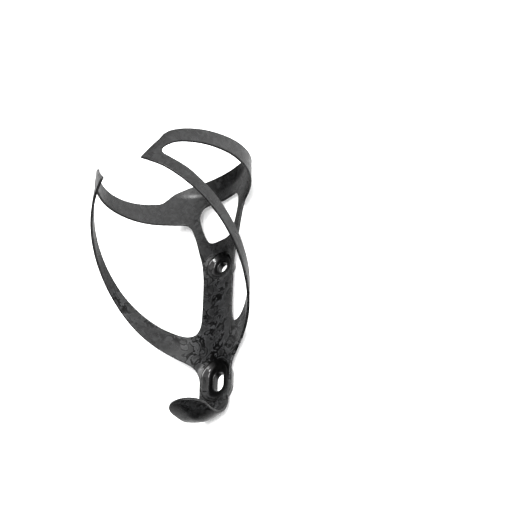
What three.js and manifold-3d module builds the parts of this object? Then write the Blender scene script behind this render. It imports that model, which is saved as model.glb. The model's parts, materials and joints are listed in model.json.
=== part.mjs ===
// A moulded carbon bottle cage: a spine plate with two bolt cups, a forked neck with a catch lip, a foot that
// carries the bottle, and two wings that wrap the bottle, each an upper band and a lower arm joined at the tip.
//
// Frame: millimetres. +X is across the cage, +Y runs along the spine towards the bottle's mouth, +Z points from
// the mounting plane towards the bottle. The origin is midway between the two bolt holes, on the back faces of
// the two cups. Every shell is first a flat plate in (arc, y), where arc is the distance round the bottle from
// the spine's centre line, and is then wrapped onto the bottle.
import * as THREE from "three";
import { TessellateModifier } from "three/addons/modifiers/TessellateModifier.js";
import { mergeVertices } from "three/addons/utils/BufferGeometryUtils.js";
import Module from "manifold-3d";

const wasm = await Module();
wasm.setup();

// Driving dimensions, in millimetres and degrees.
const INNER_RADIUS = 36.5; // the cage's inner face; it grips a bottle 73 to 74 mm across
const WALL = 1.3; // laminate thickness
const BOSS_DEPTH = 4.4; // how far the cups stand out behind the spine
const HOLE_SPACING = 64; // bolt hole to bolt hole, the usual pitch on a bicycle frame
const GAP = 0.3; // clearance where two nodes meet
const AXIS_HEIGHT = INNER_RADIUS + WALL + BOSS_DEPTH; // the bottle's axis above the mounting plane
const OUTER_RADIUS = INNER_RADIUS + WALL;

const SPINE_EDGE = 14.2; // half of the spine's width, as an angle round the bottle
const FOOT_EDGE = 13; // the same where the foot begins
const WING_CUT = 33.3; // angle where the wings leave the spine and neck; the flex axis lies here
const TIP_CUT = 143; // angle where band and arm run into the wing tip
const FORK_Y = 47; // the window's lower edge, where the neck forks
const NECK_Y = 61.5; // where the fork's legs meet the neck band
const RIDGE_Y = 80; // the fold between the neck band and the catch lip
const BAND_ARM_Y = 48; // a height that lies between each wing's band and its arm
const LIP_LEAN = 0.53; // how far the lip leans in over the bottle's groove, per millimetre of height

const ELBOW_Y = -43.5; // where the spine ends and the foot's bend starts
const BEND_RADIUS = 10.3; // inside radius of the foot's bend
const BEND_ANGLE = 99; // the foot rises a little towards its tip
const FOOT_LENGTH = 12.3; // straight part of the foot, along its centre line
const FOOT_CORNER = 9; // length over which the foot's end is rounded
const FOOT_HALF_WIDTH = INNER_RADIUS * Math.sin(THREE.MathUtils.degToRad(FOOT_EDGE));
const FOOT_FLARE = 1; // how much wider each side of the foot gets towards its end
const KEEL_DEPTH = 2.3; // how far the foot's centre line hangs below its edges
const KEEL_FADE = 0.6; // share of that depth that is gone at the foot's end
const KEEL_POWER = 1.2; // 1 would be a sharp keel and 2 a round one

const HOLE_RADIUS = 2.75; // clears an M5 bolt
const CUP_FLOOR = 3.3; // thickness of a cup's floor
const CUP_TAPER = 1.7; // how much a cup narrows from its rim to its floor
const UPPER_CUP = { y: HOLE_SPACING / 2, radius: 6.75, stretch: 0, slot: 0 };
const LOWER_CUP = { y: -HOLE_SPACING / 2, radius: 7.2, stretch: 5.4, slot: 4.2 };

const LONGEST_FACET = 5; // longest facet across a bend
const ALONG_BEND = 0.3; // facets may be this much longer where a surface is straight
const MOST_SPLITS = 24; // how often a facet may be halved
const END_FACETS = 20; // facets round the foot's end
const CUP_FACETS = 32; // facets round a cup
const RECESS_FACETS = 14; // facets round each half of a cup's opening in the spine
const BORE_FACETS = 96; // facets round the cylinder that trims the cups' rims
const POINTS_PER_KNOT = 1.5; // points on a smooth edge for each point it is drawn through
const FLAT_MARGIN = 20; // how far the cutting blocks reach past the plate

const carbon = new THREE.MeshStandardMaterial({ color: 0x3a3b3d, roughness: 0.42, metalness: 0.1 });
const cupCarbon = new THREE.MeshStandardMaterial({ color: 0x333436, roughness: 0.5, metalness: 0.1 });

// A point of the flat plate, from an angle round the bottle and a height along the spine.
const arcOf = (degrees) => INNER_RADIUS * THREE.MathUtils.degToRad(degrees);
const at = ([degrees, y]) => new THREE.Vector2(arcOf(degrees), y);
const mirrored = (points) => points.map((p) => new THREE.Vector2(-p.x, p.y)).reverse();

// Smooth edge through a few points given as [angle, y].
function edge(points) {
  return new THREE.SplineCurve(points.map(at)).getPoints(Math.round(points.length * POINTS_PER_KNOT));
}

// Right-hand half of the outline, from the foot of the spine round the wing to the top of the lip.
function halfOutline() {
  const armLower = edge([
    [SPINE_EDGE, -29.5], [17, -25.1], [22, -21.6], [30, -18.2], [45, -12.5], [60, -6], [75, 2], [90, 10.8],
    [105, 19.4], [120, 27.4], [135, 34.6], [145, 39.1], [153, 42], [160.5, 44.8],
  ]);
  const leadingEdge = edge([[162, 45.5], [156, 50], [149.5, 54.9]]);
  const bandUpper = edge([
    [145, 58.7], [135, 61.3], [120, 63.4], [105, 65.2], [90, 67.4], [75, 70], [60, 73.1], [52, 75.2],
  ]);
  const lipTop = edge([[47.5, 78], [44, 80.8], [37, 83], [27, 84.9], [12, 86], [0, 86.3]]);
  return [at([FOOT_EDGE, ELBOW_Y]), ...armLower, ...leadingEdge, ...bandUpper, ...lipTop];
}

// The opening inside the right-hand wing, between spine, leg, band, tip and arm.
function loopOutline() {
  const spineAndLeg = edge([
    [SPINE_EDGE, 26], [15.2, 31], [16.4, 36], [18.9, 42], [22, 50], [25.5, 57], [28.6, 60.4], [33, 62],
  ]);
  const bandLower = edge([
    [45, 61.8], [60, 60.5], [75, 59.2], [90, 57.9], [105, 56.5], [120, 55.3], [135, 53.8], [142, 51.9],
    [145.9, 49.6], [145.5, 46.6], [139.5, 43.7], [128, 39], [120, 35], [105, 27.4],
  ]);
  const armUpper = edge([[90, 19.5], [75, 11.7], [60, 5], [45, -0.7], [30, -4.9], [22, -5.9], [17, -4.4]]);
  return [at([SPINE_EDGE, 1]), ...spineAndLeg, ...bandLower, ...armUpper];
}

// The window between the fork's legs.
function windowOutline() {
  const half = edge([[8, 47], [11, 48.4], [14.1, 52], [17, 57], [19.6, 63], [20, 67.5], [17.8, 71.2], [14, 72.5]]);
  return [...half, ...mirrored(half)];
}

// The round or straight-sided opening of a cup.
function cupOutline({ y, radius, stretch }) {
  const half = stretch / 2;
  const path = new THREE.Path();
  path.absarc(0, y + half, radius, 0, Math.PI, false);
  path.absarc(0, y - half, radius, Math.PI, 2 * Math.PI, false);
  return path.getPoints(RECESS_FACETS);
}

// Geometry to solid and back, for the cuts.
function solid(geometry) {
  const bare = geometry.clone();
  bare.deleteAttribute("normal");
  bare.deleteAttribute("uv");
  const merged = mergeVertices(bare, 1e-4);
  const vertProperties = merged.attributes.position.array;
  const triVerts = new Uint32Array(merged.index.array);
  return new wasm.Manifold(new wasm.Mesh({ numProp: 3, vertProperties, triVerts }));
}

function geometryOf(manifold) {
  const mesh = manifold.getMesh();
  const geometry = new THREE.BufferGeometry();
  geometry.setAttribute("position", new THREE.BufferAttribute(new Float32Array(mesh.vertProperties), 3));
  geometry.setIndex(new THREE.BufferAttribute(new Uint32Array(mesh.triVerts), 1));
  return geometry;
}

// A flat plate of laminate from an outline and its holes.
function plate(outline, holes = []) {
  const shape = new THREE.Shape(outline);
  shape.holes = holes.map((points) => new THREE.Path(points));
  return new THREE.ExtrudeGeometry(shape, { depth: WALL, bevelEnabled: false });
}

// The block of a flat plate between two arcs and two heights, less half a gap on every side.
function block(arcLow, arcHigh, yLow, yHigh) {
  const width = arcHigh - arcLow - GAP;
  const height = yHigh - yLow - GAP;
  const box = new THREE.BoxGeometry(width, height, FLAT_MARGIN);
  box.translate((arcLow + arcHigh) / 2, (yLow + yHigh) / 2, 0);
  return solid(box);
}

// Splits long facets, then moves every vertex of a flat solid by the given function. While the facets are
// split, the solid is squeezed by (scaleX, scaleY), so that a straight direction is split less.
function wrapped(manifold, place, scaleX, scaleY) {
  const tessellator = new TessellateModifier(LONGEST_FACET, MOST_SPLITS);
  const flat = geometryOf(manifold).toNonIndexed().scale(scaleX, scaleY, 1);
  const fine = tessellator.modify(flat).scale(1 / scaleX, 1 / scaleY, 1);
  const geometry = mergeVertices(fine, 1e-3);
  const position = geometry.attributes.position;
  const point = new THREE.Vector3();
  for (let i = 0; i < position.count; i += 1) {
    place(point.fromBufferAttribute(position, i));
    position.setXYZ(i, point.x, point.y, point.z);
  }
  geometry.computeVertexNormals();
  return geometry;
}

// Wraps (arc, y, depth) round the bottle. Above the ridge the lip leans in.
function roundBottle(point) {
  const angle = point.x / INNER_RADIUS;
  const lean = LIP_LEAN * Math.max(0, point.y - RIDGE_Y);
  const radius = OUTER_RADIUS - point.z - lean;
  point.set(radius * Math.sin(angle), point.y, AXIS_HEIGHT - radius * Math.cos(angle));
}

// Bends (x, length, depth) down the spine's foot, round the elbow and out along the foot.
function roundFoot(point) {
  const bendEnd = THREE.MathUtils.degToRad(BEND_ANGLE);
  const bendLength = BEND_RADIUS * bendEnd;
  const progress = Math.min(point.y / bendLength, 1);
  const angle = progress * bendEnd;
  const straight = Math.max(point.y - bendLength, 0);
  const spineSag = INNER_RADIUS * (1 - Math.cos(THREE.MathUtils.degToRad(FOOT_EDGE)));
  const fade = 1 - (KEEL_FADE * straight) / FOOT_LENGTH;
  const sag = fade * THREE.MathUtils.lerp(spineSag, KEEL_DEPTH, progress);
  const power = THREE.MathUtils.lerp(2, KEEL_POWER, progress);
  const keel = sag * (1 - Math.min(Math.abs(point.x) / FOOT_HALF_WIDTH, 1) ** power);
  const radius = BEND_RADIUS + keel + point.z;
  const centreZ = AXIS_HEIGHT - INNER_RADIUS + spineSag + BEND_RADIUS;
  const z = centreZ - radius * Math.cos(angle) + straight * Math.sin(angle);
  const y = ELBOW_Y - radius * Math.sin(angle) - straight * Math.cos(angle);
  point.set(point.x, y, z);
}

const pattern = (() => {
  const half = halfOutline();
  const loop = loopOutline();
  const holes = [windowOutline(), loop, mirrored(loop), cupOutline(UPPER_CUP), cupOutline(LOWER_CUP)];
  return solid(plate([...half, ...mirrored(half.slice(0, -1))], holes));
})();

const sideArc = arcOf(WING_CUT);
const farArc = arcOf(180);
const bottomY = ELBOW_Y - FLAT_MARGIN;
const topY = RIDGE_Y + FLAT_MARGIN;

// A shell of the cage that lies round the bottle, cut from the flat pattern.
function shell(arcLow, arcHigh, yLow, yHigh) {
  return wrapped(pattern.intersect(block(arcLow, arcHigh, yLow, yHigh)), roundBottle, 1, ALONG_BEND);
}

// A shell of the foot: the part of its flat outline between two lengths along it.
function footShell(lengthLow, lengthHigh) {
  const total = BEND_RADIUS * THREE.MathUtils.degToRad(BEND_ANGLE) + FOOT_LENGTH;
  const shape = new THREE.Shape();
  const endHalfWidth = FOOT_HALF_WIDTH + FOOT_FLARE;
  shape.moveTo(-FOOT_HALF_WIDTH, 0);
  shape.lineTo(FOOT_HALF_WIDTH, 0);
  shape.lineTo(endHalfWidth, total - FOOT_CORNER);
  shape.absellipse(0, total - FOOT_CORNER, endHalfWidth, FOOT_CORNER, 0, Math.PI, false);
  const curve = { depth: WALL, bevelEnabled: false, curveSegments: END_FACETS };
  const flat = solid(new THREE.ExtrudeGeometry(shape, curve));
  return wrapped(flat.intersect(block(-FLAT_MARGIN, FLAT_MARGIN, lengthLow, lengthHigh)), roundFoot, 1, 1);
}

// A bolt cup: a flat floor with its hole, and a wall that flares up to the back of the spine.
function mountCup({ y, radius, stretch, slot }) {
  const outer = radius + WALL;
  const rim = BOSS_DEPTH + WALL;
  const profile = [
    [HOLE_RADIUS, 0], [outer - CUP_TAPER, 0], [outer, rim], [radius, rim],
    [radius - CUP_TAPER, CUP_FLOOR], [HOLE_RADIUS, CUP_FLOOR], [HOLE_RADIUS, 0],
  ].map(([r, height]) => new THREE.Vector2(r, height));
  const lathe = new THREE.LatheGeometry(profile, CUP_FACETS, Math.PI / CUP_FACETS);
  lathe.rotateX(Math.PI / 2);
  const position = lathe.attributes.position;
  for (let i = 0; i < position.count; i += 1) {
    const x = position.getX(i);
    const along = position.getY(i);
    const isHole = Math.hypot(x, along) < HOLE_RADIUS + 0.1;
    position.setY(i, along + (Math.sign(along) * (isHole ? slot : stretch)) / 2);
  }
  lathe.translate(0, y, 0);
  const boreRadius = OUTER_RADIUS + GAP;
  const bore = new THREE.CylinderGeometry(boreRadius, boreRadius, 4 * HOLE_SPACING, BORE_FACETS);
  const cut = solid(bore).translate([0, 0, AXIS_HEIGHT]);
  return geometryOf(solid(lathe).subtract(cut));
}

function named(name, geometry, material = carbon) {
  geometry.computeVertexNormals();
  const mesh = new THREE.Mesh(geometry, material);
  mesh.name = name;
  return mesh;
}

const cage = new THREE.Group();
const bendLength = BEND_RADIUS * THREE.MathUtils.degToRad(BEND_ANGLE);
const footEnd = bendLength + FOOT_LENGTH + FLAT_MARGIN;

cage.add(named("spine_plate", shell(-sideArc, sideArc, ELBOW_Y - GAP / 2, FORK_Y)));
cage.add(named("neck_band", shell(-sideArc, sideArc, NECK_Y, RIDGE_Y)));
cage.add(named("neck_lip", shell(-sideArc, sideArc, RIDGE_Y, topY)));
cage.add(named("upper_mount_cup", mountCup(UPPER_CUP), cupCarbon));
cage.add(named("lower_mount_cup", mountCup(LOWER_CUP), cupCarbon));
cage.add(named("foot_elbow", footShell(GAP / 2, bendLength)));
cage.add(named("foot_tongue", footShell(bendLength, footEnd)));

// The pieces that come in pairs: the right-hand one is modelled and the left-hand one is its mirror image.
const pairs = {
  fork_leg: shell(0, sideArc, FORK_Y, NECK_Y),
  upper_band: shell(sideArc, arcOf(TIP_CUT), BAND_ARM_Y, topY),
  lower_arm: shell(sideArc, arcOf(TIP_CUT), bottomY, BAND_ARM_Y),
  wing_tip: shell(arcOf(TIP_CUT), farArc, bottomY, topY),
};
for (const [name, geometry] of Object.entries(pairs)) {
  const left = named(`left_${name}`, geometry);
  left.scale.x = -1;
  cage.add(named(`right_${name}`, geometry), left);
}

export default cage;
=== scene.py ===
"""A moulded carbon water bottle cage, dressed over its CAD frame.

The moulding is one curved sheet, so it is laid out flat first: u runs round the bottle from the spine's
centre line and v runs along the spine, both in millimetres. Each piece is a region of that flat sheet with
rounded edges, and is then wrapped round the bottle or bent into the foot. The two bolt cups are lofted rings.
"""

import json
import math

import bpy
import numpy as np
from mathutils import Matrix, Vector
from mathutils.geometry import delaunay_2d_cdt

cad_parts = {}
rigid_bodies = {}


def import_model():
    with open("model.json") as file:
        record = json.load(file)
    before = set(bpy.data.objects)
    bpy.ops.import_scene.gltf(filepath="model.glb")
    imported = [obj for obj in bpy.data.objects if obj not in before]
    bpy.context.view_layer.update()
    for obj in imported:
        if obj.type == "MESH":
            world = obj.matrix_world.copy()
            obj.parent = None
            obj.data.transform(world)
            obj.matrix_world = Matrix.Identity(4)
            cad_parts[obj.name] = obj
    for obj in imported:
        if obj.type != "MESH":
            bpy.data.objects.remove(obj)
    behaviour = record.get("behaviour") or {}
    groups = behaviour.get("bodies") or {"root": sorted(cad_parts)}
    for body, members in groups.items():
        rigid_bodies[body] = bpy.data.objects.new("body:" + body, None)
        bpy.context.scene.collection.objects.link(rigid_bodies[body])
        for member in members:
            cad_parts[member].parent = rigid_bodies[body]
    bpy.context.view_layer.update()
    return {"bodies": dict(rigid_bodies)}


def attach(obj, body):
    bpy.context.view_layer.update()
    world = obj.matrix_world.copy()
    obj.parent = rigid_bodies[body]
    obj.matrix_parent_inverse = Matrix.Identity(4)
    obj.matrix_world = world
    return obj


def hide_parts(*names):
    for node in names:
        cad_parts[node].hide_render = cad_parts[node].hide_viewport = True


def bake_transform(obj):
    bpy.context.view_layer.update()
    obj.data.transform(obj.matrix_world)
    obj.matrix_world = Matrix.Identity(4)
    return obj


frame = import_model()

# Sizes of the moulding in millimetres, and its angles in degrees. All but the keel's depth are the CAD's own.
INNER_RADIUS = 36.5
WALL = 1.3
BOSS_DEPTH = 4.4
AXIS_HEIGHT = INNER_RADIUS + WALL + BOSS_DEPTH
SPINE_EDGE = 14.2
FOOT_EDGE = 13.0
WING_CUT = 33.3
TIP_CUT = 143.0
NECK_Y = 61.5
RIDGE_Y = 80.0
LIP_LEAN = 0.53
ELBOW_Y = -43.5
BEND_RADIUS = 10.3
BEND_ANGLE = math.radians(99.0)
BEND_LENGTH = BEND_RADIUS * BEND_ANGLE
FOOT_LENGTH = 12.3
FOOT_CORNER = 9.0
FOOT_HALF_WIDTH = INNER_RADIUS * math.sin(math.radians(FOOT_EDGE))
FOOT_FLARE = 1.0
KEEL_DEPTH = 2.25  # the CAD has 2.3
KEEL_FADE = 0.6
KEEL_POWER = 1.2
CUP_FLOOR = 3.3
HOLE_RADIUS = 2.75
CUPS = {
    "upper": {"y": 32.0, "radius": 6.75, "half": 0.0, "hole_half": 0.0},
    "lower": {"y": -32.0, "radius": 7.2, "half": 2.7, "hole_half": 2.1},
}
TIP_EDGE = ((162, 45.5), (149.5, 54.9))  # the wing tip's leading edge, as (degrees, height)

# Sizes of the finish that only the visual model has.
MM = 0.001
EDGE_ROUND = 0.35  # radius of the laminate's rounded edges
FOLD_ROUND = 0.7  # half the length over which the lip's fold is rounded
KEEL_ROUND = 0.45  # the same for the foot's keel
LEG_Y = 47.6  # where the fork's legs leave the spine
SPACING = 1.5  # distance between points on the sheet
OUTER_SPACING = 1.1  # the same along the outline
INNER_SPACING = 0.95  # the same round the wings' openings and the window
FOOT_END_POINTS = 24
CUT_CLEARANCE = 0.45  # points nearer to a cut than this share of a step give way to it
FILL_CLEARANCE = 0.62  # points nearer to the boundary than this share of SPACING are left out
EXTRA_CLEARANCE = 0.5  # points nearer to an extra point than this are left out
SAME_POINT = 1e-5
ON_AXIS = 1e-6
PROBE = 0.02  # half the distance over which the sheet's slope is measured
DISH_DEPTH = 0.75  # the sheet sinks this far towards a cup's rim
DISH_WIDTH = 3.4
FILLET_DEPTH = 1.1  # the back of the sheet swells this far where it meets a cup
FILLET_WIDTH = 3.2
FILLET_POWER = 2.5
FILLET_LIMIT = 1.2  # inside the seam the swelling stops growing at this share of its width
CUP_SEAM = 0.9  # the sheet hands over to the cup this far outside the cup's opening
TIP_BEVEL_DEPTH = 0.4  # the wing tip thins by this much along its leading edge
TIP_BEVEL_WIDTH = 1.5
TIP_BEVEL_LINE = ((161.2, 45.3), (149.5, 54.4))  # extra points lie along this line, as (degrees, height)
TIP_BEVEL_ROWS = (0.55, 1.0, 1.45)
TIP_BEVEL_POINTS = 13
KEEL_LIMIT = 1.1  # past this share of the foot's half width the keel's curve is held
HOLE_ROUND = 0.6  # the bolt holes' rims are rounded this much
RING_POINTS = 64

# The rings of a cup, from its seam with the sheet over the rim, down the bowl and hole, and up its back.
# The rim's rings are (distance outside the opening, depth below the sheet).
CUP_RIM = ((CUP_SEAM, 0.0), (0.55, 0.0), (0.25, 0.03), (0.02, 0.16), (-0.12, 0.4))
# The bowl's rings are (distance outside the opening, share of the sheet's height above the floor).
CUP_BOWL = ((-0.35, 0.72), (-0.65, 0.52), (-1.0, 0.32), (-1.35, 0.16), (-1.85, 0.05))
FLOOR_INSET = 2.6  # the floor begins this far inside the opening
FLOOR_DIP = 0.03
# The bolt hole's rings are (outwards, downwards) in shares of HOLE_ROUND, and then (outwards, height).
HOLE_RIM = ((0.5, 0.13), (0.13, 0.5), (0.0, 1.0))
HOLE_BACK = ((0.0, 0.3), (0.08, 0.08), (0.3, 0.0))
# The back's rings are (distance outside the opening, height).
BOSS_SIDE = ((-0.95, 0.0), (-0.6, 0.1), (-0.42, 0.42), (0.0, 1.5), (0.45, 2.5))

# The four noises of the carbon, as (scale, detail, distortion), and where its islands thin out, in metres of
# the sheet: (from, to, change at the one, change at the other).
PATCHES = (48, 2.0, 0.8)
BLOTCHES = (165, 3.5, 1.3)
RAGGED = (380, 2.0, 1.0)
FIBRES = (1100, 2.0, 2.0)
COVER_UPWARDS = (0.0, 0.045, 0.13, 0.03)
COVER_OUTWARDS = (0.020, 0.046, 0.0, -0.14)
COVER_ENDWARDS = (0.038, 0.052, 0.0, -0.22)
COVER_SHIFT = 0.003  # the cover is centred this far below the origin

# Ramps of the carbon: (place on the noise, value there).
MARBLE_TONES = (
    (0.0, 0.011), (0.32, 0.003), (0.43, 0.010), (0.48, 0.024), (0.50, 0.0005), (0.58, 0.0003), (0.605, 0.018),
    (0.64, 0.001), (1.0, 0.009),
)
PLAIN_TONES = ((0.30, 0.001), (0.5, 0.0035), (0.7, 0.009))
COVER_EDGE = ((0.46, 0.08), (0.64, 1.0))
GRAIN = ((0.3, 0.75), (0.7, 1.25))
MARBLE_SHINE = ((0.0, 0.22), (0.46, 0.27), (0.50, 0.09), (0.575, 0.07), (0.60, 0.24), (1.0, 0.2))
PLAIN_SHINE = ((0.30, 0.26), (0.7, 0.31))
ROUGHNESS = ((0.40, 0.36), (0.5, 0.25), (0.62, 0.40))
BLUISH = (1, 1.01, 1.03)
LACQUER_IOR = 1.5
BUMP_STRENGTH = 0.15
BUMP_HEIGHT = 0.0003

FLOOR_SIZE = 8
FLOOR_DROP = 0.0002
FLOOR_GREY = 0.98
FLOOR_ROUGHNESS = 0.9
FLOOR_SHINE = 0.1

# The light all round rises from the dark side to the bright side, and a dim glow comes from below.
BRIGHT_SIDE = (0.9, 0.0, 0.45)
DARKEST = 0.05
BRIGHTEST = 3.0
BRIGHT_RANGE = (-0.05, 0.85)  # cosines of the angle to the bright side, where the rise starts and ends
GLOW_SIDE = (-0.30, 0.60, -0.70)
GLOW = 1.3
GLOW_RANGE = (0.0, 0.6)
BACKDROP = 1.0
LAMPS = {
    "overhead": {"location": (0.26, 0.15, 0.95), "width": 0.62, "depth": 0.24, "power": 10.0},
    "edge": {"location": (0.50, -0.42, 0.75), "width": 0.20, "depth": 0.20, "power": 8.0},
}
LAMP_TARGET = (0, 0.02, 0.03)

CAMERA_PLACE = (0.25749, -0.24801, 0.31255)
CAMERA_TURNS = (("Z", 0.51), ("Y", 36.827), ("X", 35.575))
CAMERA_LENS = 68.32
SENSOR_WIDTH = 36


# ---------------------------------------------------------------- curves on the flat sheet

def arc(degrees):
    return INNER_RADIUS * math.radians(degrees)


def flat(points):
    """Points given as (degrees round the bottle, height), on the flat sheet."""
    return np.array([(arc(a), y) for a, y in points], float)


def spline(points, steps=12):
    """A smooth curve through the points."""
    padded = np.vstack([points[:1], points, points[-1:]])
    made = []
    for a, b, c, d in zip(padded, padded[1:], padded[2:], padded[3:]):
        leave = (c - a) / 2
        arrive = (d - b) / 2
        for step in range(steps):
            t = step / steps
            cube = (2 * b - 2 * c + leave + arrive) * t**3
            square = (3 * c - 3 * b - 2 * leave - arrive) * t**2
            made.append(cube + square + leave * t + b)
    made.append(points[-1])
    return np.array(made)


def evenly(points, spacing):
    """The same line with its points about the given distance apart."""
    steps = np.hypot(*np.diff(points, axis=0).T)
    along = np.concatenate([[0], np.cumsum(steps)])
    count = max(2, round(along[-1] / spacing) + 1)
    places = np.linspace(0, along[-1], count)
    return np.stack([np.interp(places, along, points[:, k]) for k in (0, 1)], axis=1)


def outer_line():
    """Right-hand half of the outline, from the middle of the foot's end to the middle of the lip."""
    total = BEND_LENGTH + FOOT_LENGTH
    corner_width = FOOT_HALF_WIDTH + FOOT_FLARE
    foot = []
    for turn in np.linspace(0, math.pi / 2, FOOT_END_POINTS):
        x = corner_width * math.sin(turn)
        length = total - FOOT_CORNER + FOOT_CORNER * math.cos(turn)
        foot.append((x, length))
    foot.append((FOOT_HALF_WIDTH + FOOT_FLARE / 2, (total - FOOT_CORNER) / 2))
    foot.append((FOOT_HALF_WIDTH, 0))
    foot = [(INNER_RADIUS * math.asin(x / INNER_RADIUS), ELBOW_Y - length) for x, length in foot]
    arm = spline(flat([
        (FOOT_EDGE, ELBOW_Y), (13.7, -36), (SPINE_EDGE, -29.5), (17, -25.1), (22, -21.6), (30, -18.2),
        (45, -12.5), (60, -6), (75, 2), (90, 10.8), (105, 19.4), (120, 27.4), (135, 34.6), (145, 39.1),
        (153, 42), (160.5, 44.8),
    ]))
    top = spline(flat([
        TIP_EDGE[0], (156, 50), TIP_EDGE[1], (145, 58.7), (135, 61.3), (120, 63.4), (105, 65.2), (90, 67.4),
        (75, 70), (60, 73.1), (52, 75.2), (44, 80.8), (37, 83), (27, 84.9), (12, 86), (0, 86.3),
    ]))
    return evenly(np.vstack([foot, arm[1:], top]), OUTER_SPACING)


def loop_line():
    """The opening inside the right-hand wing, clockwise, starting on the arm's upper side near its root."""
    points = flat([
        (45, -0.7), (30, -4.9), (22, -5.9), (17, -4.4), (14.4, 0.5), (14, 12), (14.3, 24), (15.2, 31),
        (16.4, 36), (18.9, 42), (22, 50), (25.5, 57), (28.6, 60.4), (33, 62), (45, 61.8), (60, 60.5),
        (75, 59.2), (90, 57.9), (105, 56.5), (120, 55.3), (135, 53.8), (142, 51.9), (145.9, 49.6),
        (145.5, 46.6), (139.5, 43.7), (128, 39), (120, 35), (105, 27.4), (90, 19.5), (75, 11.7), (60, 5),
        (45, -0.7),
    ])
    return evenly(spline(points), INNER_SPACING)


def window_line():
    """Right-hand half of the fork's window, from the middle of its top to the middle of its foot."""
    points = flat([
        (0, 72.6), (9, 72.7), (14.6, 72.4), (17.9, 70.9), (20, 67.2), (19.6, 63), (17, 57), (14.1, 52),
        (11, 48.5), (7.4, 47.1), (3, 47), (0, 47),
    ])
    return evenly(spline(points), INNER_SPACING)


def with_inset(line, closed=False):
    """Pairs of a point on the edge and the point EDGE_ROUND inside the material, on the line's left."""
    if closed:
        before = np.vstack([line[-2:-1], line[:-1]])
        after = np.vstack([line[1:], line[1:2]])
    else:
        mirror = np.array([-1, 1])
        before = np.vstack([line[1:2] * mirror, line[:-1]])
        after = np.vstack([line[1:], line[-2:-1] * mirror])
    along = after - before
    along = along / np.hypot(*along.T)[:, None]
    inward = np.stack([-along[:, 1], along[:, 0]], axis=1)
    return np.stack([line, line + EDGE_ROUND * inward], axis=1)


def split(line, cuts, closed=False):
    """Cuts the line where it crosses the given widths or heights, and returns its chains of pairs.

    Each cut is (axis, value, near). The line crosses that value on axis 0 (u) or 1 (v), and where it does so
    more than once, the crossing nearest to the point near is the cut."""
    places = []
    for axis, value, near in cuts:
        offset = line[:, axis] - value
        crossings = []
        for i in np.nonzero(offset[:-1] * offset[1:] <= 0)[0]:
            share = offset[i] / (offset[i] - offset[i + 1])
            point = line[i] + share * (line[i + 1] - line[i])
            crossings.append((np.hypot(*(point - near)), i + share, point))
        places.append(min(crossings, key=lambda c: c[0])[1:])
    points = list(line)
    order = [float(i) for i in range(len(line))]
    for place, point in places:
        keep = [k for k, o in enumerate(order) if abs(o - place) > CUT_CLEARANCE or o in (0, len(line) - 1)]
        points = [points[k] for k in keep]
        order = [order[k] for k in keep]
        at = int(np.searchsorted(order, place))
        points.insert(at, point)
        order.insert(at, place)
    pairs = with_inset(np.array(points), closed)
    stops = [order.index(place) for place, _ in places]
    if closed:
        ring = pairs[:-1]
        ring = np.concatenate([ring, ring, ring[:1]])
        count = len(pairs) - 1
        ends = stops[1:] + [stops[0]]
        return [ring[a:(b if b > a else b + count) + 1] for a, b in zip(stops, ends)]
    bounds = [0, *stops, len(pairs) - 1]
    return [pairs[a:b + 1] for a, b in zip(bounds, bounds[1:])]


# ---------------------------------------------------------------- from the flat sheet to the real shape

def smoothstep(x):
    x = np.clip(x, 0, 1)
    return x * x * (3 - 2 * x)


def distance_to_cup(u, v, cup):
    beyond = np.maximum(np.abs(v - cup["y"]) - cup["half"], 0)
    return np.hypot(u, beyond) - cup["radius"]


def distance_to_tip_edge(u, v):
    a, b = flat(TIP_EDGE)
    along = (b - a) / np.hypot(*(b - a))
    du = np.abs(u) - a[0]
    dv = v - a[1]
    return np.abs(du * along[1] - dv * along[0])


def radii(u, v):
    """Inner and outer radius of the wrapped sheet at the flat point."""
    rise = v - RIDGE_Y
    lean = LIP_LEAN * (rise + np.sqrt(rise**2 + FOLD_ROUND**2)) / 2
    inner = INNER_RADIUS - lean
    outer = INNER_RADIUS + WALL - lean
    for cup in CUPS.values():
        away = distance_to_cup(u, v, cup)
        inner = inner + DISH_DEPTH * (1 - smoothstep(away / DISH_WIDTH))
        nearness = np.clip((FILLET_WIDTH - away) / (FILLET_WIDTH - CUP_SEAM), 0, FILLET_LIMIT)
        outer = outer + FILLET_DEPTH * nearness**FILLET_POWER
    bevel = TIP_BEVEL_DEPTH * (1 - smoothstep(distance_to_tip_edge(u, v) / TIP_BEVEL_WIDTH))
    outer = outer - bevel * (np.abs(u) > arc(TIP_CUT))
    return inner, outer


def foot_shape(u, v, depth):
    """The foot: down the spine, round the elbow and out along the tongue."""
    x = INNER_RADIUS * np.sin(u / INNER_RADIUS)
    length = ELBOW_Y - v
    progress = np.clip(length / BEND_LENGTH, 0, 1)
    angle = progress * BEND_ANGLE
    straight = np.maximum(length - BEND_LENGTH, 0)
    spine_sag = INNER_RADIUS * (1 - math.cos(math.radians(FOOT_EDGE)))
    sag = spine_sag + (KEEL_DEPTH - spine_sag) * progress
    sag = sag * (1 - KEEL_FADE * straight / FOOT_LENGTH)
    power = 2 + (KEEL_POWER - 2) * progress
    out = (np.sqrt(x**2 + (KEEL_ROUND * progress) ** 2) - KEEL_ROUND * progress) / FOOT_HALF_WIDTH
    keel = sag * (1 - np.minimum(out, KEEL_LIMIT) ** power)
    radius = BEND_RADIUS + keel + depth
    centre = AXIS_HEIGHT - INNER_RADIUS + spine_sag + BEND_RADIUS
    z = centre - radius * np.cos(angle) + straight * np.sin(angle)
    y = ELBOW_Y - radius * np.sin(angle) - straight * np.cos(angle)
    return np.stack([x, y, z], axis=1)


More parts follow.
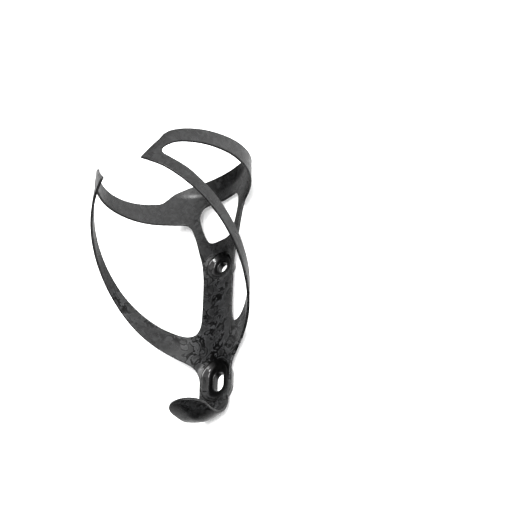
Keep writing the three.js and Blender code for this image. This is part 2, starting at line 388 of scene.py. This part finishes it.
def place(points, t):
    """Flat points to the real shape. t is 0 on the bottle's side of the sheet and 1 on its back."""
    u, v = np.asarray(points, float).T
    t = np.broadcast_to(np.asarray(t, float), u.shape)
    inner, outer = radii(u, v)
    radius = inner + (outer - inner) * t
    angle = u / INNER_RADIUS
    wrapped = np.stack([radius * np.sin(angle), v, AXIS_HEIGHT - radius * np.cos(angle)], axis=1)
    is_foot = (v < ELBOW_Y)[:, None]
    return np.where(is_foot, foot_shape(u, v, t * WALL), wrapped)


def unit(vectors):
    return vectors / np.maximum(np.linalg.norm(vectors, axis=1), 1e-12)[:, None]


def facing(points, t):
    """Unit normals of the sheet at flat points, towards the bottle."""
    points = np.asarray(points, float)
    across = place(points + [PROBE, 0], t) - place(points - [PROBE, 0], t)
    along = place(points + [0, PROBE], t) - place(points - [0, PROBE], t)
    return unit(np.cross(across, along))


# ---------------------------------------------------------------- regions of the sheet

def straight(a, b):
    """Points of a cut between two pieces, both ends included."""
    count = max(1, round(math.dist(a, b) / SPACING))
    return np.array([np.asarray(a) + (np.asarray(b) - np.asarray(a)) * k / count for k in range(count + 1)])


def inside(points, ring):
    """Which of the points lie inside the closed ring."""
    x, y = points.T
    within = np.zeros(len(points), bool)
    for (x0, y0), (x1, y1) in zip(ring, np.roll(ring, -1, axis=0)):
        spans = (y0 > y) != (y1 > y)
        if spans.any():
            cross = x0 + (y - y0) * (x1 - x0) / (y1 - y0 if y1 != y0 else 1)
            within ^= spans & (x < cross)
    return within


def tip_bevel_points():
    """Extra points along the bevel of the wing tip's leading edge, so that it shows crisply."""
    a, b = flat(TIP_BEVEL_LINE)
    inward = np.array([b[1] - a[1], a[0] - b[0]]) / math.dist(a, b) * np.array([-1, -1])
    shares = np.linspace(0.06, 0.94, TIP_BEVEL_POINTS)[:, None]
    return np.vstack([a + (b - a) * shares + inward * away for away in TIP_BEVEL_ROWS])


def filling(ring):
    """Points spread evenly inside the ring."""
    low = ring.min(axis=0)
    high = ring.max(axis=0)
    row_height = SPACING * math.sqrt(3) / 2
    points = []
    for row, y in enumerate(np.arange(low[1], high[1], row_height)):
        shift = SPACING / 2 * (row % 2)
        points += [(x, y) for x in np.arange(low[0] + shift, high[0], SPACING)]
    points = np.array(points)
    points = points[inside(points, ring)]
    nearest = np.full(len(points), np.inf)
    for corner in ring:
        nearest = np.minimum(nearest, np.hypot(*(points - corner).T))
    return points[nearest > FILL_CLEARANCE * SPACING]


class Shell:
    """A closed solid, gathered as points, faces and a normal for each corner."""

    def __init__(self):
        self.points = []
        self.normals = []
        self.sheet = []
        self.faces = []
        self.corner_normals = []

    def add(self, points, normals, sheet):
        first = len(self.points)
        self.points += [tuple(p) for p in points]
        self.normals += [tuple(n) for n in normals]
        self.sheet += [tuple(s) for s in sheet]
        return list(range(first, first + len(points)))

    def face(self, corners, normal=None):
        self.faces.append(tuple(corners))
        self.corner_normals.append([normal or self.normals[c] for c in corners])

    def cap(self, corners):
        """A face of its own at a cut, where the next piece begins."""
        total = np.zeros(3)
        around = [np.array(self.points[c]) for c in corners]
        for a, b in zip(around, around[1:] + around[:1]):
            total += np.cross(a, b)
        self.face(corners, tuple(unit(total[None])[0]))

    def mirrored(self, weld):
        """The mirror image. With weld, it is joined on to this half along the middle."""
        other = Shell()
        flip = np.array([-1, 1, 1])
        if weld:
            other.points = list(self.points)
            other.normals = list(self.normals)
            other.sheet = list(self.sheet)
            other.faces = list(self.faces)
            other.corner_normals = list(self.corner_normals)
        index = []
        for point, normal, sheet in zip(self.points, self.normals, self.sheet):
            if weld and abs(point[0]) < ON_AXIS:
                index.append(len(index))
                continue
            index += other.add([flip * point], [flip * normal], [flip * sheet])
        for corners, normals in zip(self.faces, self.corner_normals):
            other.faces.append(tuple(index[c] for c in reversed(corners)))
            other.corner_normals.append([tuple(flip * n) for n in reversed(normals)])
        return other


# The rounded edge from the bottle's side to the back: (share of the inset, depth, turn of the normal).
DIAGONAL = 1 - math.sqrt(0.5)
EDGE_PROFILE = (
    (1, 0, 90),
    (DIAGONAL, DIAGONAL * EDGE_ROUND, 45),
    (0, EDGE_ROUND, 0),
    (0, WALL - EDGE_ROUND, 0),
    (DIAGONAL, WALL - DIAGONAL * EDGE_ROUND, -45),
    (1, WALL, -90),
)


def region(*parts, extra=None):
    """A solid from its boundary, anticlockwise: chains of pairs are real edges and lists of points are cuts.

    A cut that runs along the middle, u = 0, is left open, to be welded to its mirror image."""
    ring = []
    edge_of = {}
    segments = []
    for part in parts:
        is_edge = np.ndim(part) == 3
        points = part[:, 1] if is_edge else np.asarray(part, float)
        indices = []
        for k, point in enumerate(points):
            if k == 0 and ring and math.dist(ring[-1], point) < SAME_POINT:
                indices.append(len(ring) - 1)
            elif ring and math.dist(ring[0], point) < SAME_POINT:
                indices.append(0)
            else:
                indices.append(len(ring))
                ring.append(tuple(point))
            if is_edge:
                edge_of[indices[-1]] = part[k, 0]
        for i, j in zip(indices, indices[1:]):
            on_axis = abs(ring[i][0]) < ON_AXIS and abs(ring[j][0]) < ON_AXIS
            segments.append((i, j, "edge" if is_edge else "axis" if on_axis else "cut"))
    ring = np.array(ring)
    fill = filling(ring)
    if extra is not None:
        extra = extra[inside(extra, ring)]
        clear = [min(math.dist(p, e) for e in extra) > EXTRA_CLEARANCE for p in fill]
        fill = np.vstack([fill[clear], extra])
    flat_points = np.vstack([ring, fill])
    corners = [Vector(p) for p in flat_points]
    loops = [(i, j) for i, j, _ in segments]
    _, _, triangles, origin, _, _ = delaunay_2d_cdt(corners, loops, [], 1, 1e-6)
    back = [o[0] for o in origin]

    shell = Shell()
    none = np.zeros(len(flat_points))
    front = shell.add(
        place(flat_points, 0), facing(flat_points, 0), np.column_stack([flat_points, none])
    )
    rear = shell.add(
        place(flat_points, 1), -facing(flat_points, 1), np.column_stack([flat_points, none + WALL])
    )
    for triangle in triangles:
        a, b, c = (back[k] for k in triangle)
        (ax, ay), (bx, by), (cx, cy) = flat_points[[a, b, c]]
        if (bx - ax) * (cy - ay) - (by - ay) * (cx - ax) < 0:
            b, c = c, b
        shell.face([front[a], front[b], front[c]])
        shell.face([rear[a], rear[c], rear[b]])

    rings = {}
    for i, rim in edge_of.items():
        inset = ring[i]
        column = [front[i]]
        for share, depth, turn in EDGE_PROFILE[1:-1]:
            spot = (rim + (inset - rim) * share)[None]
            t = depth / WALL
            outward = unit(place(rim[None], t) - place(inset[None], t))
            normal = unit(
                math.cos(math.radians(turn)) * outward
                + math.sin(math.radians(turn)) * facing(inset[None], t)
            )
            column += shell.add(place(spot, t), normal, [(*spot[0], depth)])
        column.append(rear[i])
        rings[i] = column
    kinds = {}
    for i, j, kind in segments:
        kinds.setdefault(i, set()).add(kind)
        kinds.setdefault(j, set()).add(kind)
        if kind == "edge":
            for step in range(len(EDGE_PROFILE) - 1):
                a, b = rings[i], rings[j]
                shell.face([b[step], a[step], a[step + 1], b[step + 1]])
            continue
        if kind == "cut":
            shell.cap([front[j], front[i], rear[i], rear[j]])
    for i, j, kind in segments:
        if kind == "edge" and "cut" in kinds[j]:
            shell.cap(rings[j])
        if kind == "edge" and "cut" in kinds[i]:
            shell.cap(rings[i][::-1])
    return shell


def stadium(radius, half, y):
    """A ring of flat points: a circle, or two half circles joined by straight sides."""
    points = []
    for k in range(RING_POINTS):
        turn = math.pi / 2 - 2 * math.pi * k / RING_POINTS
        shift = half if k < RING_POINTS / 4 or k > RING_POINTS * 3 / 4 else -half
        if k in (RING_POINTS // 4, RING_POINTS * 3 // 4):
            shift = 0
        points.append((radius * math.cos(turn), y + shift + radius * math.sin(turn)))
    return np.array(points)


def cup_seam(cup):
    """Right-hand half of the cut between the sheet and a cup, from its top to its bottom."""
    ring = stadium(cup["radius"] + CUP_SEAM, cup["half"], cup["y"])[:RING_POINTS // 2 + 1]
    ring[[0, -1], 0] = 0
    return ring


def cup_shell(cup):
    """A bolt cup: a dished rim, a tapered bowl, a floor with its bolt hole, and the boss behind."""
    radius, half, hole_half, y = cup["radius"], cup["half"], cup["hole_half"], cup["y"]
    shell = Shell()
    rings = []

    def ring_on_sheet(offset, t, sink=0.0):
        flat_ring = stadium(radius + offset, half, y)
        points = place(flat_ring, t)
        points[:, 2] -= sink
        rings.append((points, np.column_stack([flat_ring, np.full(RING_POINTS, t * WALL - sink)])))

    def ring_at(spread, stretch, z):
        flat_ring = stadium(spread, stretch, y)
        x = INNER_RADIUS * np.sin(flat_ring[:, 0] / INNER_RADIUS)
        points = np.column_stack([x, flat_ring[:, 1], np.full(RING_POINTS, z)])
        rings.append((points, np.column_stack([flat_ring, np.full(RING_POINTS, z - BOSS_DEPTH)])))

    def ring_between(offset, share):
        """Part way from the rim down to the floor."""
        flat_ring = stadium(radius + offset, half, y)
        points = place(flat_ring, 0)
        points[:, 2] = CUP_FLOOR + (points[:, 2] - CUP_FLOOR) * share
        rings.append((points, np.column_stack([flat_ring, points[:, 2] - BOSS_DEPTH - WALL])))

    for offset, sink in CUP_RIM:
        ring_on_sheet(offset, 0, sink)
    for offset, share in CUP_BOWL:
        ring_between(offset, share)
    floor_edge = radius - FLOOR_INSET
    ring_at(floor_edge, half, CUP_FLOOR)
    ring_at((floor_edge + HOLE_RADIUS) / 2, (half + hole_half) / 2, CUP_FLOOR - FLOOR_DIP)
    ring_at(HOLE_RADIUS + HOLE_ROUND, hole_half, CUP_FLOOR - FLOOR_DIP)
    for out, down in HOLE_RIM:
        ring_at(HOLE_RADIUS + out * HOLE_ROUND, hole_half, CUP_FLOOR - down * HOLE_ROUND)
    for out, z in HOLE_BACK:
        ring_at(HOLE_RADIUS + out, hole_half, z)
    for offset, z in BOSS_SIDE:
        ring_at(radius + offset, half, z)
    ring_on_sheet(CUP_SEAM, 1)

    for points, sheet in rings:
        shell.add(points, np.zeros_like(points), sheet)
    count = RING_POINTS
    quads = []
    for k in range(len(rings)):
        here = k * count
        there = (k + 1) % len(rings) * count
        for i in range(count):
            j = (i + 1) % count
            quads.append((here + i, here + j, there + j, there + i))
    points = np.array(shell.points)
    normals = np.zeros_like(points)
    for a, b, c, d in quads[:-count]:
        turn = np.cross(points[c] - points[a], points[d] - points[b])
        for corner in (a, b, c, d):
            normals[corner] += turn
    normals = unit(normals)
    seam = stadium(radius + CUP_SEAM, half, y)
    normals[:count] = facing(seam, 0)
    normals[-count:] = -facing(seam, 1)
    shell.normals = [tuple(n) for n in normals]
    for quad in quads[:-count]:
        shell.face(quad)
    for quad in quads[-count:]:
        shell.cap(quad)
    return shell


def cage_shells():
    """Every piece of the moulding, by the name of the CAD node that it stands for."""
    bend_end = ELBOW_Y - BEND_LENGTH
    tongue_edge, elbow_edge, spine_edge, arm_edge, tip_edge, band_edge, lip_edge = split(outer_line(), [
        (1, bend_end, (9, bend_end)),
        (1, ELBOW_Y, (8, ELBOW_Y)),
        (0, arc(WING_CUT), (arc(WING_CUT), -17)),
        (0, arc(TIP_CUT), (arc(TIP_CUT), 38)),
        (0, arc(TIP_CUT), (arc(TIP_CUT), 59)),
        (0, arc(WING_CUT), (arc(WING_CUT), 84)),
    ])
    loop_root, loop_leg, loop_neck, loop_band, loop_tip, loop_arm = split(loop_line(), [
        (0, arc(WING_CUT), (arc(WING_CUT), -4)),
        (1, LEG_Y, (arc(21), LEG_Y)),
        (1, NECK_Y, (arc(31), NECK_Y)),
        (0, arc(WING_CUT), (arc(WING_CUT), 62)),
        (0, arc(TIP_CUT), (arc(TIP_CUT), 51)),
        (0, arc(TIP_CUT), (arc(TIP_CUT), 45)),
    ], closed=True)
    window_top, window_leg, window_foot = split(window_line(), [
        (1, NECK_Y, (arc(19), NECK_Y)),
        (1, LEG_Y, (arc(10), LEG_Y)),
    ])
    upper, lower = cup_seam(CUPS["upper"]), cup_seam(CUPS["lower"])
    ridge = (arc(WING_CUT), RIDGE_Y)
    middle = {name: (0, v) for name, v in (("bend", bend_end), ("elbow", ELBOW_Y), ("ridge", RIDGE_Y))}

    def inset(chain, end):
        return tuple(chain[end, 1])

    halves = {
        "foot_tongue": region(
            tongue_edge,
            straight(inset(tongue_edge, -1), middle["bend"]),
            straight(middle["bend"], inset(tongue_edge, 0)),
        ),
        "foot_elbow": region(
            straight(middle["bend"], inset(elbow_edge, 0)),
            elbow_edge,
            straight(inset(elbow_edge, -1), middle["elbow"]),
            straight(middle["elbow"], middle["bend"]),
        ),
        "spine_plate": region(
            straight(middle["elbow"], inset(spine_edge, 0)),
            spine_edge,
            straight(inset(spine_edge, -1), inset(loop_root, 0)),
            loop_root,
            straight(inset(loop_root, -1), inset(window_foot, 0)),
            window_foot,
            straight(inset(window_foot, -1), upper[0]),
            upper,
            straight(upper[-1], lower[0]),
            lower,
            straight(lower[-1], middle["elbow"]),
        ),
        "neck_band": region(
            straight(inset(window_leg, 0), inset(loop_neck, 0)),
            loop_neck,
            straight(inset(loop_neck, -1), ridge),
            straight(ridge, middle["ridge"]),
            straight(middle["ridge"], inset(window_top, 0)),
            window_top,
        ),
        "neck_lip": region(
            straight(middle["ridge"], ridge),
            straight(ridge, inset(lip_edge, 0)),
            lip_edge,
            straight(inset(lip_edge, -1), middle["ridge"]),
        ),
    }
    sides = {
        "fork_leg": region(
            straight(inset(window_leg, -1), inset(loop_leg, 0)),
            loop_leg,
            straight(inset(loop_leg, -1), inset(window_leg, 0)),
            window_leg,
        ),
        "upper_band": region(
            loop_band,
            straight(inset(loop_band, -1), inset(band_edge, 0)),
            band_edge,
            straight(inset(band_edge, -1), ridge),
            straight(ridge, inset(loop_band, 0)),
        ),
        "lower_arm": region(
            arm_edge,
            straight(inset(arm_edge, -1), inset(loop_arm, 0)),
            loop_arm,
            straight(inset(loop_arm, -1), inset(arm_edge, 0)),
        ),
        "wing_tip": region(
            tip_edge,
            straight(inset(tip_edge, -1), inset(loop_tip, 0)),
            loop_tip,
            straight(inset(loop_tip, -1), inset(tip_edge, 0)),
            extra=tip_bevel_points(),
        ),
    }
    shells = {name: half.mirrored(weld=True) for name, half in halves.items()}
    for name, shell in sides.items():
        shells[f"right_{name}"] = shell
        shells[f"left_{name}"] = shell.mirrored(weld=False)
    for name, cup in CUPS.items():
        shells[f"{name}_mount_cup"] = cup_shell(cup)
    return shells


def piece(name, shell, material):
    """The Blender object of a shell, in metres."""
    mesh = bpy.data.meshes.new(name)
    mesh.from_pydata([[c * MM for c in p] for p in shell.points], [], shell.faces)
    mesh.polygons.foreach_set("use_smooth", [True] * len(mesh.polygons))
    sheet = mesh.attributes.new("sheet", "FLOAT_VECTOR", "POINT")
    sheet.data.foreach_set("vector", [c * MM for s in shell.sheet for c in s])
    mesh.materials.append(material)
    mesh.normals_split_custom_set([n for corners in shell.corner_normals for n in corners])
    made = bpy.data.objects.new(name, mesh)
    bpy.context.scene.collection.objects.link(made)
    return made


# ---------------------------------------------------------------- materials

def ramp(nodes, stops, scale=1.0):
    """A colour ramp through (place, value) stops, with every value scaled."""
    node = nodes.new("ShaderNodeValToRGB")
    elements = node.color_ramp.elements
    while len(elements) < len(stops):
        elements.new(0.5)
    for element, (position, value) in zip(elements, stops):
        element.position = position
        value = value * scale
        element.color = (*(value * tint for tint in BLUISH), 1)
    return node


def noise(nodes, links, source, look):
    scale, detail, distortion = look
    node = nodes.new("ShaderNodeTexNoise")
    node.inputs["Scale"].default_value = scale
    node.inputs["Detail"].default_value = detail
    node.inputs["Distortion"].default_value = distortion
    links.new(source, node.inputs["Vector"])
    return node


def mixed(nodes, links, blend, factor, a, b):
    """Two colours mixed. The node's colour sockets have no names of their own: 6 and 7 in, and 2 out."""
    node = nodes.new("ShaderNodeMix")
    node.data_type = "RGBA"
    node.blend_type = blend
    if isinstance(factor, (int, float)):
        node.inputs[0].default_value = factor
    else:
        links.new(factor, node.inputs[0])
    links.new(a, node.inputs[6])
    links.new(b, node.inputs[7])
    return node.outputs[2]


def arithmetic(nodes, links, operation, value, other=None):
    node = nodes.new("ShaderNodeMath")
    node.operation = operation
    links.new(value, node.inputs[0])
    if isinstance(other, (int, float)):
        node.inputs[1].default_value = other
    elif other is not None:
        links.new(other, node.inputs[1])
    return node.outputs["Value"]


def mapped(nodes, links, value, low, high, at_low, at_high):
    """The value's range from low to high, carried over to another range and held at its ends."""
    node = nodes.new("ShaderNodeMapRange")
    node.inputs["From Min"].default_value = low
    node.inputs["From Max"].default_value = high
    node.inputs["To Min"].default_value = at_low
    node.inputs["To Max"].default_value = at_high
    links.new(value, node.inputs["Value"])
    return node.outputs["Result"]


def island_cover(nodes, links, spot, islands):
    """How thick the islands lie: most on the spine and the arms' roots, least on the wings, lip and foot."""
    place_on_sheet = nodes.new("ShaderNodeSeparateXYZ")
    links.new(spot, place_on_sheet.inputs["Vector"])
    sideways = arithmetic(nodes, links, "ABSOLUTE", place_on_sheet.outputs["X"])
    from_middle = arithmetic(nodes, links, "ADD", place_on_sheet.outputs["Y"], COVER_SHIFT)
    lengthways = arithmetic(nodes, links, "ABSOLUTE", from_middle)
    upwards = mapped(nodes, links, place_on_sheet.outputs["Y"], *COVER_UPWARDS)
    outwards = mapped(nodes, links, sideways, *COVER_OUTWARDS)
    endwards = mapped(nodes, links, lengthways, *COVER_ENDWARDS)
    patch = noise(nodes, links, spot, PATCHES)
    cover = arithmetic(nodes, links, "ADD", patch.outputs["Fac"], upwards)
    cover = arithmetic(nodes, links, "ADD", cover, outwards)
    cover = arithmetic(nodes, links, "ADD", cover, endwards)
    return arithmetic(nodes, links, "ADD", cover, islands)


def forged_carbon(name, shade, gloss, islands):
    """Chopped carbon fibre pressed into marbled islands, under a satin lacquer.

    The shade scales its colours, more gloss makes the lacquer smoother, and a lower value of islands leaves
    fewer of them."""
    material = bpy.data.materials.new(name)
    material.use_nodes = True
    nodes = material.node_tree.nodes
    links = material.node_tree.links
    shader = nodes["Principled BSDF"]
    shader.inputs["IOR"].default_value = LACQUER_IOR

    sheet = nodes.new("ShaderNodeAttribute")
    sheet.attribute_name = "sheet"
    spot = sheet.outputs["Vector"]
    blotch = noise(nodes, links, spot, BLOTCHES)
    ragged = noise(nodes, links, spot, RAGGED)
    fibre = noise(nodes, links, spot, FIBRES)
    cover = island_cover(nodes, links, spot, islands)

    def along(source, stops, scale=1.0):
        node = ramp(nodes, stops, scale)
        links.new(source, node.inputs["Fac"])
        return node.outputs["Color"]

    marble = along(blotch.outputs["Fac"], MARBLE_TONES, shade)
    plain = along(ragged.outputs["Fac"], PLAIN_TONES, shade)
    where = along(cover, COVER_EDGE)
    colour = mixed(nodes, links, "MIX", where, plain, marble)
    grain = along(fibre.outputs["Fac"], GRAIN)
    colour = mixed(nodes, links, "MULTIPLY", 1.0, colour, grain)
    links.new(colour, shader.inputs["Base Color"])

    plain_shine = along(ragged.outputs["Fac"], PLAIN_SHINE)
    marble_shine = along(blotch.outputs["Fac"], MARBLE_SHINE)
    shine = mixed(nodes, links, "MIX", where, plain_shine, marble_shine)
    links.new(shine, shader.inputs["Specular IOR Level"])
    links.new(along(blotch.outputs["Fac"], ROUGHNESS, 1 / gloss), shader.inputs["Roughness"])
    bump = nodes.new("ShaderNodeBump")
    bump.inputs["Strength"].default_value = BUMP_STRENGTH
    bump.inputs["Distance"].default_value = BUMP_HEIGHT
    links.new(ragged.outputs["Fac"], bump.inputs["Height"])
    links.new(bump.outputs["Normal"], shader.inputs["Normal"])
    return material


def floor_material():
    material = bpy.data.materials.new("pale_floor")
    material.use_nodes = True
    shader = material.node_tree.nodes["Principled BSDF"]
    shader.inputs["Base Color"].default_value = (FLOOR_GREY, FLOOR_GREY, FLOOR_GREY, 1)
    shader.inputs["Roughness"].default_value = FLOOR_ROUGHNESS
    shader.inputs["Specular IOR Level"].default_value = FLOOR_SHINE
    return material


# ---------------------------------------------------------------- the cage

carbon = forged_carbon("forged_carbon", 1.0, 1.0, 0.0)
# The cups' copy of the carbon is darkened to a quarter, with fewer islands and a smoother lacquer. The
# darkening is painted shade for the cups' recesses, laid over the whole cup.
cup_carbon = forged_carbon("cup_carbon", 0.25, 2.0, -0.2)


for node, shell in cage_shells().items():
    is_cup = node.endswith("cup")
    made = piece(f"visual_{node}", shell, cup_carbon if is_cup else carbon)
    wing = node.split("_")[0] + "_wing"
    if wing not in frame["bodies"] or node.endswith("fork_leg"):
        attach(made, "spine")
    elif node.endswith("wing_tip"):
        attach(made, wing)
    else:
        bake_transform(made)
    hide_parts(node)


# ---------------------------------------------------------------- floor, light and camera

def add_floor():
    """The ground. It is left out of sharp reflections, so that the cage mirrors only the light all round."""
    bpy.ops.mesh.primitive_plane_add(size=FLOOR_SIZE, location=(0, 0, -FLOOR_DROP))
    floor = bpy.context.object
    floor.name = "floor"
    floor.data.materials.append(floor_material())
    floor.visible_glossy = False


def add_light(name, location, width, depth, power):
    data = bpy.data.lights.new(name, "AREA")
    data.shape = "ELLIPSE"
    data.size = width
    data.size_y = depth
    data.energy = power
    light = bpy.data.objects.new(name, data)
    light.location = location
    light.rotation_euler = (Vector(LAMP_TARGET) - Vector(location)).to_track_quat("-Z", "Y").to_euler()
    bpy.context.scene.collection.objects.link(light)


def add_camera():
    data = bpy.data.cameras.new("camera")
    data.sensor_width = SENSOR_WIDTH
    data.lens = CAMERA_LENS
    camera = bpy.data.objects.new("camera", data)
    turn = Matrix.Identity(3)
    for axis, degrees in CAMERA_TURNS:
        turn = turn @ Matrix.Rotation(math.radians(degrees), 3, axis)
    camera.matrix_world = Matrix.Translation(CAMERA_PLACE) @ turn.to_4x4()
    bpy.context.scene.collection.objects.link(camera)
    bpy.context.scene.camera = camera


def closeness(nodes, links, direction, side):
    """The cosine of the angle between a direction and a side."""
    node = nodes.new("ShaderNodeVectorMath")
    node.operation = "DOT_PRODUCT"
    node.inputs[1].default_value = Vector(side).normalized()
    links.new(direction, node.inputs[0])
    return node.outputs["Value"]


def add_studio():
    """Soft light all round, bright to the right and dark on the left. The camera sees plain white instead."""
    world = bpy.data.worlds.new("studio")
    world.use_nodes = True
    nodes = world.node_tree.nodes
    links = world.node_tree.links
    nodes["Background"].inputs["Color"].default_value = (1, 1, 1, 1)
    direction = nodes.new("ShaderNodeTexCoord").outputs["Generated"]
    bright_side = closeness(nodes, links, direction, BRIGHT_SIDE)
    fade = mapped(nodes, links, bright_side, *BRIGHT_RANGE, DARKEST, BRIGHTEST)
    fade.node.interpolation_type = "SMOOTHSTEP"
    glow = mapped(nodes, links, closeness(nodes, links, direction, GLOW_SIDE), *GLOW_RANGE, 0.0, GLOW)
    total = arithmetic(nodes, links, "ADD", fade, glow)
    seen = nodes.new("ShaderNodeLightPath")
    strength = nodes.new("ShaderNodeMix")
    strength.inputs["B"].default_value = BACKDROP
    links.new(seen.outputs["Is Camera Ray"], strength.inputs["Factor"])
    links.new(total, strength.inputs["A"])
    links.new(strength.outputs["Result"], nodes["Background"].inputs["Strength"])
    bpy.context.scene.world = world
    bpy.context.scene.view_settings.view_transform = "Standard"


add_floor()
add_studio()
for lamp, look in LAMPS.items():
    add_light(lamp, **look)
add_camera()
